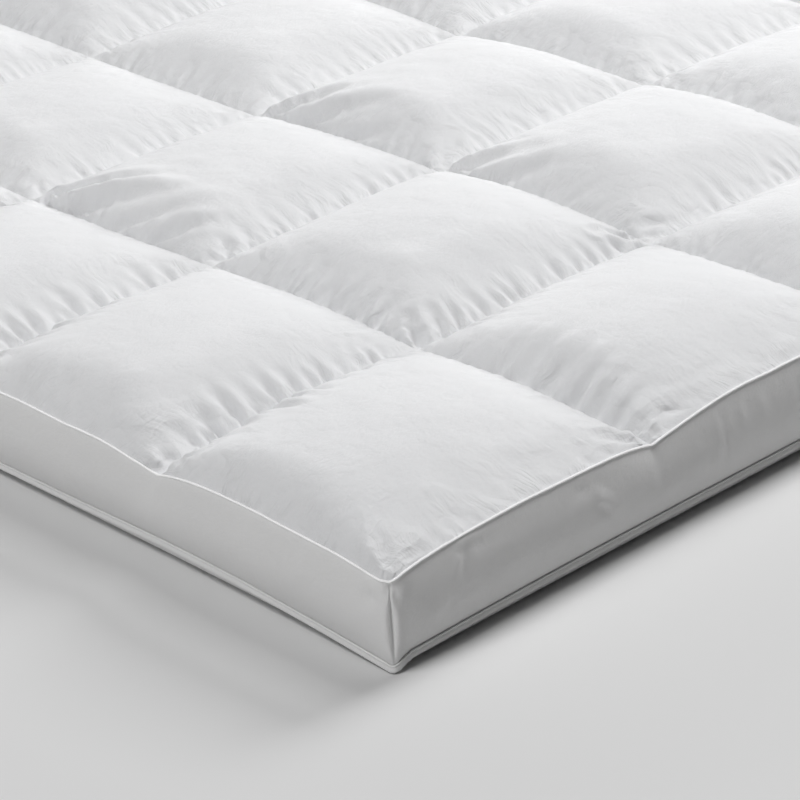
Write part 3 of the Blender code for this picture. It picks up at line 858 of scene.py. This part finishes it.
def row_object(body, points, row, band_normals, materials):
    """One closed row of five boxes, with its part of the band and underside."""
    faces, normals, slots = [], [], []
    # Top panel: a box shades smoothly in itself and creases at its channels.
    for i in range(BOXES_X):
        index = body.top_index[X_AT[i]:X_AT[i + 1] + 1, Y_AT[row]:Y_AT[row + 1] + 1]
        quads = quads_of(index)
        total = np.zeros((index.size, 3))
        local = quads_of(np.arange(index.size).reshape(index.shape))
        add_normals(total, points[index.reshape(-1)], local)
        faces.append(quads)
        normals.append(unit(total)[local.reshape(-1)])
        slots.append(np.zeros(len(quads), int))
    steps = body.perimeter_of_row(row)
    n = 2 * (NX + NY)
    for k in range(len(body.ring) - 1):
        upper, lower = body.ring[k], body.ring[k + 1]
        a, b = steps, (steps + 1) % n
        quads = np.stack((upper[a], lower[a], lower[b], upper[b]), axis=-1)
        faces.append(quads)
        normals.append(band_normals[quads.reshape(-1)])
        slots.append(np.full(len(quads), 1 if k < BAND_CELLS else 2))
    quads = np.concatenate(faces)
    loops = [quads.reshape(-1)]
    sizes = [np.full(len(quads), 4)]
    loop_normals = [np.concatenate(normals)]
    slot_no = [np.concatenate(slots)]
    under = body.under_faces[row]
    loops.append(np.concatenate([np.array(f) for f in under]))
    sizes.append(np.array([len(f) for f in under]))
    loop_normals.append(band_normals[loops[-1]])
    slot_no.append(np.full(len(under), 2))
    loops = np.concatenate(loops)
    used, renumbered = np.unique(loops, return_inverse=True)
    places, renumbered = [points[used]], [renumbered]
    # The inner walls under the channels close the row.  They have points of
    # their own on the border, so that the cloth shades as if they weren't there.
    for line, way in ((row, -1), (row + 1, 1)):
        if 0 < line < BOXES_Y:
            outline = np.array(body.wall(line)[::way])
            renumbered.append(np.arange(len(outline)) + sum(len(p) for p in places))
            places.append(points[outline])
            sizes.append(np.array([len(outline)]))
            loop_normals.append(np.tile((0.0, float(way), 0.0), (len(outline), 1)))
            slot_no.append(np.array([2]))
    places, renumbered, sizes = (np.concatenate(a) for a in (places, renumbered, sizes))
    mesh = bpy.data.meshes.new(f"topper_row_{row + 1}")
    mesh.vertices.add(len(places))
    mesh.vertices.foreach_set("co", places.astype(np.float32).ravel())
    mesh.loops.add(len(renumbered))
    mesh.loops.foreach_set("vertex_index", renumbered.astype(np.int32).ravel())
    mesh.polygons.add(len(sizes))
    mesh.polygons.foreach_set("loop_start", np.concatenate(([0], np.cumsum(sizes)[:-1])).astype(np.int32))
    mesh.polygons.foreach_set("material_index", np.concatenate(slot_no).astype(np.int32))
    mesh.update(calc_edges=True)
    mesh.shade_smooth()
    for material in materials:
        mesh.materials.append(material)
    mesh.normals_split_custom_set(np.concatenate(loop_normals).astype(np.float32))
    return link(mesh.name, mesh)


def link(name, data):
    ob = bpy.data.objects.new(name, data)
    bpy.context.scene.collection.objects.link(ob)
    return ob


def swept_ring(name, path, side, section, material):
    """A closed section carried round the closed path; side points outwards."""
    n, m = len(path), len(section)
    up = np.array((0.0, 0.0, 1.0))
    points = (path[:, None] + side[:, None] * section[None, :, :1] + up * section[None, :, 1:])
    index = np.arange(n * m).reshape(n, m)
    after = np.roll(index, -1, axis=0)
    quads = np.stack((index, after, np.roll(after, -1, axis=1), np.roll(index, -1, axis=1)), axis=-1).reshape(-1, 4)
    mesh = bpy.data.meshes.new(name)
    mesh.from_pydata(points.reshape(-1, 3).tolist(), [], quads.tolist())
    mesh.shade_smooth()
    mesh.materials.append(material)
    return link(name, mesh)


# -------------------------------------------------------------------- materials
class Nodes:
    """Small helper that adds nodes to a material and joins them."""

    def __init__(self, name):
        self.material = bpy.data.materials.new(name)
        self.material.use_nodes = True
        self.tree = self.material.node_tree
        self.bsdf = self.tree.nodes["Principled BSDF"]

    def add(self, kind, **settings):
        node = self.tree.nodes.new(kind)
        for key, value in settings.items():
            setattr(node, key, value)
        return node

    def join(self, source, target):
        self.tree.links.new(source, target)

    def math(self, operation, a, b=None, c=None):
        node = self.add("ShaderNodeMath", operation=operation)
        for socket, value in zip(node.inputs, (a, b, c)):
            if value is None:
                continue
            if isinstance(value, (int, float)):
                socket.default_value = value
            else:
                self.join(value, socket)
        return node.outputs[0]

    def noise(self, vector, scale, detail=2.0, rough=0.5, distortion=0.0):
        node = self.add("ShaderNodeTexNoise")
        self.join(vector, node.inputs["Vector"])
        node.inputs["Scale"].default_value = scale
        node.inputs["Detail"].default_value = detail
        node.inputs["Roughness"].default_value = rough
        node.inputs["Distortion"].default_value = distortion
        return node.outputs[0]

    def gathers(self, x, y, place):
        """Hair-fine gathers that run away from the channels, strongest beside them."""
        drift = self.math("MULTIPLY", self.noise(place, 13.0, 2.0), 0.045)
        patchy = self.math("MULTIPLY", self.math("SUBTRACT", self.noise(place, 22.0, 1.0), 0.40), 5.0)
        patchy = self.math("MINIMUM", self.math("MAXIMUM", patchy, 0.12), 1.0)
        total = None
        for across, along, size, line in ((x, y, BOX_WIDTH, y), (y, x, BOX_LENGTH, x)):
            half = (BOXES_Y if line is y else BOXES_X) * size / 2
            local = self.math("FRACT", self.math("DIVIDE", self.math("ADD", line, half), size))
            away = self.math("MULTIPLY", self.math("MINIMUM", local, self.math("SUBTRACT", 1.0, local)), size)
            near = self.math("EXPONENT", self.math("MULTIPLY", away, -1.0 / 0.055))
            vector = self.add("ShaderNodeCombineXYZ")
            self.join(self.math("ADD", across, drift), vector.inputs[0])
            self.join(self.math("MULTIPLY", along, 0.16), vector.inputs[1])
            lines = self.noise(vector.outputs[0], 115.0, 3.0, 0.6)
            height = self.math("MULTIPLY", self.math("MULTIPLY", lines, near), patchy)
            total = height if total is None else self.math("ADD", total, height)
        return total

    def bump(self, height, distance, normal=None):
        node = self.add("ShaderNodeBump")
        node.inputs["Distance"].default_value = distance
        node.inputs["Strength"].default_value = 1.0
        self.join(height, node.inputs["Height"])
        if normal is not None:
            self.join(normal, node.inputs["Normal"])
        return node.outputs[0]


THREAD_PITCH = 0.00055


def woven_cotton(name, light, dark, plane, roughness=0.78, sheen=0.3, crinkle=1.0, gathers=0.0):
    """Plain-woven cotton.  plane says which way the threads run."""
    n = Nodes(name)
    place = n.add("ShaderNodeTexCoord").outputs["Object"]
    parts = n.add("ShaderNodeSeparateXYZ")
    n.join(place, parts.inputs[0])
    x, y, z = parts.outputs
    along, across = (x, y) if plane == "flat" else (n.math("ADD", x, y), z)
    # Over and under: where a warp thread lies on top the weft dips.
    k = math.pi / THREAD_PITCH
    warp, weft = n.math("SINE", n.math("MULTIPLY", along, k)), n.math("SINE", n.math("MULTIPLY", across, k))
    over = n.math("GREATER_THAN", n.math("MULTIPLY", warp, weft), 0.0)
    a, b = n.math("ABSOLUTE", warp), n.math("ABSOLUTE", weft)
    mix = n.add("ShaderNodeMix", data_type="FLOAT")
    n.join(over, mix.inputs["Factor"])
    n.join(a, mix.inputs[2])
    n.join(b, mix.inputs[3])
    weave = mix.outputs[0]
    # Fine crinkles of worn-in cotton and the softer unevenness of the filling.
    crinkle_fine = n.noise(place, 260.0, 3.0, 0.6)
    crinkle_soft = n.noise(place, 70.0, 3.0, 0.55, 0.4)
    lumps = n.noise(place, 16.0, 2.0, 0.5)
    normal = n.bump(lumps, 0.0012 * crinkle)
    normal = n.bump(crinkle_soft, 0.00085 * crinkle, normal)
    normal = n.bump(crinkle_fine, 0.00024 * crinkle, normal)
    if gathers:
        normal = n.bump(n.gathers(x, y, place), gathers, normal)
    normal = n.bump(weave, 0.00006, normal)
    n.join(normal, n.bsdf.inputs["Normal"])
    # Colour: threads, slubs and faint large patches.
    patches = n.noise(place, 5.0, 3.0, 0.6)
    slubs = n.noise(place, 420.0, 2.0, 0.7)
    tone = n.math("ADD", n.math("MULTIPLY", patches, 0.5),
                  n.math("ADD", n.math("MULTIPLY", slubs, 0.3), n.math("MULTIPLY", weave, 0.2)))
    ramp = n.add("ShaderNodeValToRGB")
    ramp.color_ramp.elements[0].position = 0.30
    ramp.color_ramp.elements[0].color = (*dark, 1.0)
    ramp.color_ramp.elements[1].position = 0.70
    ramp.color_ramp.elements[1].color = (*light, 1.0)
    n.join(tone, ramp.inputs[0])
    n.join(ramp.outputs[0], n.bsdf.inputs["Base Color"])
    rough = n.add("ShaderNodeMapRange")
    n.join(slubs, rough.inputs["Value"])
    rough.inputs["To Min"].default_value = roughness - 0.06
    rough.inputs["To Max"].default_value = roughness + 0.06
    n.join(rough.outputs[0], n.bsdf.inputs["Roughness"])
    n.bsdf.inputs["Sheen Weight"].default_value = sheen
    n.bsdf.inputs["Sheen Roughness"].default_value = 0.45
    n.bsdf.inputs["Specular IOR Level"].default_value = 0.25
    return n.material


def floor_material():
    n = Nodes("studio_floor")
    place = n.add("ShaderNodeTexCoord").outputs["Object"]
    patches = n.noise(place, 1.5, 2.0)
    ramp = n.add("ShaderNodeValToRGB")
    ramp.color_ramp.elements[0].color = (0.765, 0.765, 0.765, 1.0)
    ramp.color_ramp.elements[1].color = (0.785, 0.785, 0.785, 1.0)
    n.join(patches, ramp.inputs[0])
    n.join(ramp.outputs[0], n.bsdf.inputs["Base Color"])
    n.bsdf.inputs["Roughness"].default_value = 0.85
    return n.material


# ------------------------------------------------------------- camera and light
def add_camera():
    yaw, pitch, roll = (math.radians(a) for a in (41.25, 26.2, -4.0))
    forward = Vector((math.sin(yaw) * math.cos(pitch), math.cos(yaw) * math.cos(pitch), -math.sin(pitch)))
    right = Vector((math.cos(yaw), -math.sin(yaw), 0.0))
    up = right.cross(forward)
    r = right * math.cos(roll) + up * math.sin(roll)
    u = -right * math.sin(roll) + up * math.cos(roll)
    data = bpy.data.cameras.new("view")
    data.sensor_fit = "HORIZONTAL"
    data.sensor_width = 36.0
    data.lens = 143.46
    data.clip_start, data.clip_end = 0.05, 100.0
    camera = link("view", data)
    camera.matrix_world = Matrix.Translation((
        -LENGTH / 2 - 1.894, -WIDTH / 2 - 2.198, EDGE_HEIGHT + 1.642,
    )) @ Matrix((r, u, -forward)).transposed().to_4x4()
    bpy.context.scene.camera = camera


def add_area(name, place, target, size, power, colour=(1.0, 1.0, 1.0)):
    data = bpy.data.lights.new(name, "AREA")
    data.shape = "SQUARE"
    data.size = size
    data.energy = power
    data.color = colour
    light = link(name, data)
    light.location = place
    light.rotation_euler = (Vector(target) - Vector(place)).to_track_quat("-Z", "Y").to_euler()


def add_studio():
    bpy.ops.mesh.primitive_plane_add(size=30.0)
    floor = bpy.context.active_object
    floor.name = floor.data.name = "studio_floor"
    floor.data.materials.append(floor_material())
    world = bpy.data.worlds.new("studio")
    world.use_nodes = True
    world.node_tree.nodes["Background"].inputs["Color"].default_value = (1.0, 1.0, 1.0, 1.0)
    world.node_tree.nodes["Background"].inputs["Strength"].default_value = 0.02
    bpy.context.scene.world = world
    # Azimuth from +X towards +Y, elevation, power: a low and a high light from
    # the far right, and weaker ones from the left and overhead.
    for name, azimuth, elevation, power, size in (
        ("key_low", 30.0, 10.0, 56.0, 1.2), ("key_back", 45.0, 10.0, 122.0, 1.2), ("key_mid", 0.0, 35.0, 262.0, 2.5),
        ("key_high", 0.0, 62.0, 124.0, 2.5), ("fill_low", 180.0, 18.0, 64.0, 2.5), ("fill_high", 180.0, 62.0, 170.0, 2.5),
    ):
        a, e = math.radians(azimuth), math.radians(elevation)
        way = Vector((math.cos(a) * math.cos(e), math.sin(a) * math.cos(e), math.sin(e)))
        centre = Vector((-0.4, -0.3, 0.1))
        add_area(name, centre + 7.0 * way, centre, size, power)
    bpy.context.scene.view_settings.view_transform = "Standard"


# -------------------------------------------------------------------- the model
def make_body(materials):
    along_x, along_y = all_seams()
    boxes = [(i, j) for i in range(BOXES_X) for j in range(BOXES_Y)]
    with ThreadPoolExecutor(4) as pool:
        panels = list(pool.map(lambda box: relaxed_box(along_x, along_y, *box), boxes))
    top = np.zeros((NX + 1, NY + 1, 3))
    for (i, j), panel in zip(boxes, panels):
        top[X_AT[i]:X_AT[i + 1] + 1, Y_AT[j]:Y_AT[j + 1] + 1] = panel
    edges = (top[:, 0], top[-1], top[::-1, -1], top[0, ::-1])
    with ThreadPoolExecutor(4) as pool:
        bands = list(pool.map(lambda s: relaxed_band(s, edges[s]), range(4)))
    body = Body(top, bands)
    points = np.concatenate(body.points)
    # Normals of the band and underside, which run on across the rows.
    total = np.zeros((len(points), 3))
    ring_count = 2 * (NX + NY)
    a, b = np.arange(ring_count), (np.arange(ring_count) + 1) % ring_count
    for k in range(len(body.ring) - 1):
        upper, lower = body.ring[k], body.ring[k + 1]
        add_normals(total, points, np.stack((upper[a], lower[a], lower[b], upper[b]), axis=-1))
    g = body.under
    add_normals(total, points, np.stack((g[:-1, :-1], g[:-1, 1:], g[1:, 1:], g[1:, :-1]), axis=-1).reshape(-1, 4))
    normals = unit(total)
    flat = body.ring[-1]
    normals[flat] = (0.0, 0.0, -1.0)
    objects = [row_object(body, points, j, normals, materials) for j in range(BOXES_Y)]
    return objects, points, body


def ring_sides(path):
    """Directions outwards, at right angles to the closed path in plan."""
    ahead = np.roll(path, -1, axis=0) - np.roll(path, 1, axis=0)
    side = np.stack((ahead[:, 1], -ahead[:, 0], np.zeros(len(path))), axis=-1)
    return unit(side)


def make_piping(points, body, material):
    path = points[body.edge]
    side = ring_sides(path)
    radius = 0.64 * PIPING_DIAMETER / 2
    angle = np.linspace(0, 2 * np.pi, 10, endpoint=False)
    off = radius + GAP * 0.4
    section = np.stack((off * 0.55 + radius * np.cos(angle), off * 0.84 + radius * np.sin(angle)), axis=-1)
    return swept_ring("top_edge_piping", path, side, section, material)


def make_flange(points, body, material):
    path = points[body.ring[BAND_CELLS]].copy()
    side = ring_sides(path)
    from_corner = path[:, 0] + LENGTH / 2
    gather = 0.0010 * np.sin(2 * np.pi * from_corner / 0.0062) * np.exp(-((from_corner - 0.015) / 0.010) ** 2)
    path[:NX] += (side * gather[:, None])[:NX]
    t = FLANGE_THICKNESS
    inner = GAP
    section = [(inner, 0.0), (inner + t * 0.5, 0.0005), (inner + t, 0.0)]
    section += [(inner + t + FLANGE_LEAN * s * 0.8, -FLANGE_WIDTH * s) for s in (0.2, 0.28, 0.36, 0.6, 0.85)]
    section[4] = (section[4][0] - 0.0006, section[4][1])
    section += [(inner + t * 0.8 + FLANGE_LEAN, -FLANGE_WIDTH * 0.97), (inner + t * 0.4 + FLANGE_LEAN, -FLANGE_WIDTH),
                (inner + FLANGE_LEAN, -FLANGE_WIDTH * 0.95), (inner + FLANGE_LEAN * 0.5, -FLANGE_WIDTH * 0.5)]
    return swept_ring("bottom_edge_flange", path, side, np.array(section), material)


add_camera()
add_studio()

shell_top = woven_cotton("cotton_top", (0.897, 0.90, 0.910), (0.847, 0.852, 0.866), "flat", gathers=0.0050)
shell_band = woven_cotton("cotton_band", (0.88, 0.878, 0.875), (0.83, 0.828, 0.826), "upright")
shell_under = woven_cotton("cotton_underside", (0.86, 0.86, 0.86), (0.80, 0.80, 0.80), "flat")
piping_cloth_painted_glow = woven_cotton("cotton_edge_piping_painted_glow", (0.985, 0.985, 0.985), (0.96, 0.96, 0.96), "upright", 0.6, 0.6, 0.4)
piping_shader = piping_cloth_painted_glow.node_tree.nodes["Principled BSDF"]
piping_shader.inputs["Subsurface Weight"].default_value = 1.0
piping_shader.inputs["Subsurface Scale"].default_value = 0.004
piping_shader.inputs["Subsurface Radius"].default_value = (1.0, 1.0, 1.0)
# Painted glow: the cotton piping gives off a faint light of its own (emission), so that it shows whiter than the lamps
# alone make it.
piping_shader.inputs["Emission Color"].default_value = (1.0, 1.0, 1.0, 1.0)
piping_shader.inputs["Emission Strength"].default_value = 0.22
flange_cloth = woven_cotton("cotton_edge_flange", (0.90, 0.90, 0.895), (0.85, 0.85, 0.845), "upright", 0.75, 0.25, 0.4)

rows, points, body = make_body((shell_top, shell_band, shell_under))
for ob in rows:
    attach(ob, "root")
    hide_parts("topper_body")
piping = make_piping(points, body, piping_cloth_painted_glow)
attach(piping, "root")
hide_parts("top_piping")
flange = make_flange(points, body, flange_cloth)
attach(flange, "root")
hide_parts("bottom_flange")
